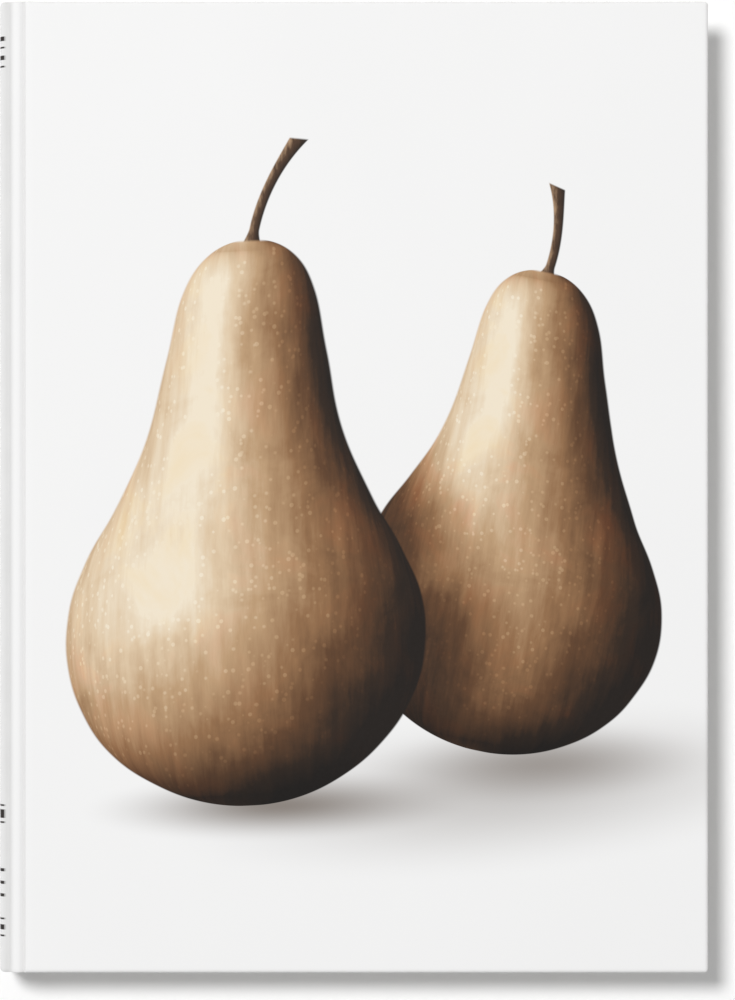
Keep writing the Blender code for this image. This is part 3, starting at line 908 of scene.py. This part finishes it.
def textBlock():
    v = blockValues
    draw = random.Random(4)
    count, nested = v["sections"], v["sheetsPerSection"]
    pitch = (blockTopZ - blockLowZ) / count
    leaf = pitch / (2 * nested)
    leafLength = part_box("section_01")[1][0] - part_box("section_01")[0][0]
    shape = bmesh.new()
    for section in range(count):
        middle = blockTopZ - pitch * (section + 0.5)
        back = blockBack(middle)
        slide = draw.uniform(-1, 1) * v["sheetScatter"]
        for sheetIndex in range(nested):
            outer = leaf * (nested - sheetIndex) - leaf * (1 - v["paperShare"]) / 2
            inner = outer - leaf * v["paperShare"]
            endY = (leafHigh.y - leafLow.y) / 2 + draw.uniform(-1, 0) * v["trimScatter"]
            backX = back + (leaf * nested - outer) + slide
            centreX = backX + outer
            rings = []
            for radius in (outer, max(inner, v["leastFold"])):
                fore = blockBack(middle + radius) + leafLength + draw.uniform(-1, 0) * v["trimScatter"]
                foreLow = blockBack(middle - radius) + leafLength + draw.uniform(-1, 0) * v["trimScatter"]
                line = [(fore, middle + radius)]
                for angle in between(math.pi / 2, 3 * math.pi / 2, v["foldSteps"]):
                    line.append((centreX + radius * math.cos(angle), middle + radius * math.sin(angle)))
                line.append((foreLow, middle - radius))
                rings.append(line)
            (lowOuter, lowInner), (highOuter, highInner) = [
                [[shape.verts.new((x, y, z)) for x, z in line] for line in rings] for y in (-endY, endY)]
            for k in range(len(lowOuter) - 1):
                for a, b in ((lowOuter, highOuter), (highInner, lowInner),
                             (lowInner, lowOuter), (highOuter, highInner)):
                    shape.faces.new((a[k], a[k + 1], b[k + 1], b[k]))
            for k in (0, -1):
                shape.faces.new((lowOuter[k], highOuter[k], highInner[k], lowInner[k]))
    bmesh.ops.recalc_face_normals(shape, faces=shape.faces)
    piece = settled(meshPiece("textLeaves", shape, "leaf"))
    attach(piece, "text_block")
    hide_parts(*(f"section_{index + 1:02d}" for index in range(count)))
    print("text block:", count * nested, "folded sheets")


textBlock()


# Headband and tailband: threads wound over a core at each end of the back

headbandValues = {
    "core": 0.5 * mm,
    "thread": 0.2 * mm,
    "threadHeight": 1.15,
    "pitch": 0.44 * mm,
    "lift": 0.3,
    "brownEvery": 4,
    "ringSteps": 14,
    "threadSteps": 6,
    "coreSteps": 10,
    "coreLevels": 12,
}


def headband(name, node):
    v = headbandValues
    low, high = (Vector(corner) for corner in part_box(node))
    centreY = (low.y + high.y) / 2
    radius = v["core"]
    inside = radius + v["thread"]
    shape = bmesh.new()
    length = high.z - low.z - 2 * v["thread"]
    count = int(length / v["pitch"])
    for index in range(count):
        z = low.z + v["thread"] + v["pitch"] / 2 + index * length / count
        centre = Vector((blockBack(z) + inside, centreY, z))
        rings = []
        for k in range(v["ringSteps"]):
            angle = 2 * math.pi * k / v["ringSteps"]
            out = Vector((math.cos(angle), math.sin(angle), 0))
            lift = Vector((0, 0, v["pitch"] * v["lift"] * math.sin(angle)))
            ring = []
            for turn in between(0, 2 * math.pi, v["threadSteps"])[:-1]:
                side = out * (radius + v["thread"] * math.cos(turn))
                rise = Vector((0, 0, v["thread"] * v["threadHeight"] * math.sin(turn)))
                ring.append(shape.verts.new(centre + lift + side + rise))
            rings.append(ring)
        for a, b in zip(rings, rings[1:] + rings[:1]):
            for k in range(v["threadSteps"]):
                m = (k + 1) % v["threadSteps"]
                face = shape.faces.new((a[k], b[k], b[m], a[m]))
                face.material_index = int(index % v["brownEvery"] < 1)
    # A core that closes the gaps between the threads
    levels = between(low.z + v["thread"], high.z - v["thread"], v["coreLevels"])
    tube = [[shape.verts.new((blockBack(z) + inside + radius * math.cos(a), centreY + radius * math.sin(a), z))
             for a in between(0, 2 * math.pi, v["coreSteps"])[:-1]] for z in levels]
    for a, b in zip(tube, tube[1:]):
        for k in range(v["coreSteps"]):
            m = (k + 1) % v["coreSteps"]
            shape.faces.new((a[k], a[m], b[m], b[k]))
    shape.faces.new(tube[0][::-1])
    shape.faces.new(tube[-1])
    bmesh.ops.recalc_face_normals(shape, faces=shape.faces)
    piece = settled(meshPiece(name, shape, "threadPale", "threadBrown"))
    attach(piece, "text_block")
    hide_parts(node)


headband("headbandThreads", "headband")
headband("tailbandThreads", "tailband")
print("headbands wound")


# The hidden boards and the spine lining keep their own solids

solidFinishes = {"front_board": "board", "back_board": "board", "spine_board": "board", "spine_lining": "lining"}
for node, finish in solidFinishes.items():
    mesh = frame["nodes"][node].data
    mesh.materials.clear()
    mesh.materials.append(finishes[finish])
print("boards and lining finished")


# Studio: a pale floor, a soft light from the upper left and a camera straight above

studioValues = {
    "photoSize": (735, 1000),
    "coverPixels": (-2.2, 1.3, 708.1, 972.8),
    "cameraRise": 1.25,
    "sensor": 36.0,
    "farthest": 20,
    "floorSize": 4.0,
    "floorColour": (0.98, 0.98, 0.98, 1),
    "keyPlace": Vector((-0.79, 0.85, 3.4)),
    "keySize": 0.72,
    "keyPower": 84.4,
    "fillColour": (1.0, 1.0, 1.0, 1),
    "fillStrength": 0.39,
}


def floor():
    shape = bmesh.new()
    half = studioValues["floorSize"] / 2
    corners = ((-half, -half), (half, -half), (half, half), (-half, half))
    shape.faces.new([shape.verts.new((x, y, 0)) for x, y in corners])
    mesh = bpy.data.meshes.new("studioFloor")
    shape.to_mesh(mesh)
    shape.free()
    piece = bpy.data.objects.new("studioFloor", mesh)
    scene.collection.objects.link(piece)
    material, sheet, inputs = newMaterial("studioFloor", 0.9, 0.1)
    grain = sheet.noise(sheet.node("ShaderNodeTexCoord").outputs["Object"], 60.0, 2.0)
    sheet.feed(inputs["Roughness"], sheet.span(grain, 0.0, 1.0, 0.85, 0.95))
    inputs["Base Color"].default_value = studioValues["floorColour"]
    mesh.materials.append(material)


def studioLight(name, place, size, power):
    light = bpy.data.lights.new(name, "AREA")
    light.shape = "DISK"
    light.size = size
    light.energy = power
    obj = bpy.data.objects.new(name, light)
    obj.location = place
    obj.rotation_euler = (Vector((0, 0, 0)) - place).to_track_quat("-Z", "Y").to_euler()
    scene.collection.objects.link(obj)


def camera():
    left, top, right, bottom = studioValues["coverPixels"]
    wide, tall = studioValues["photoSize"]
    metresPerPixel = (headY - tailY) / (bottom - top)
    aimX = (wide / 2 - (left + right) / 2) * metresPerPixel
    aimY = ((top + bottom) / 2 - tall / 2) * metresPerPixel
    lens = bpy.data.cameras.new("photoCamera")
    lens.sensor_width = studioValues["sensor"]
    lens.lens = studioValues["sensor"] * studioValues["cameraRise"] / (tall * metresPerPixel)
    lens.clip_end = studioValues["farthest"]
    obj = bpy.data.objects.new("photoCamera", lens)
    obj.location = (aimX, aimY, faceZ + studioValues["cameraRise"])
    scene.collection.objects.link(obj)
    scene.camera = obj


floor()
studioLight("keyLight", studioValues["keyPlace"], studioValues["keySize"], studioValues["keyPower"])
camera()
scene.world = bpy.data.worlds.new("studioWorld")
scene.world.use_nodes = True
backdrop = scene.world.node_tree.nodes["Background"]
backdrop.inputs["Color"].default_value = studioValues["fillColour"]
backdrop.inputs["Strength"].default_value = studioValues["fillStrength"]
print("studio set")
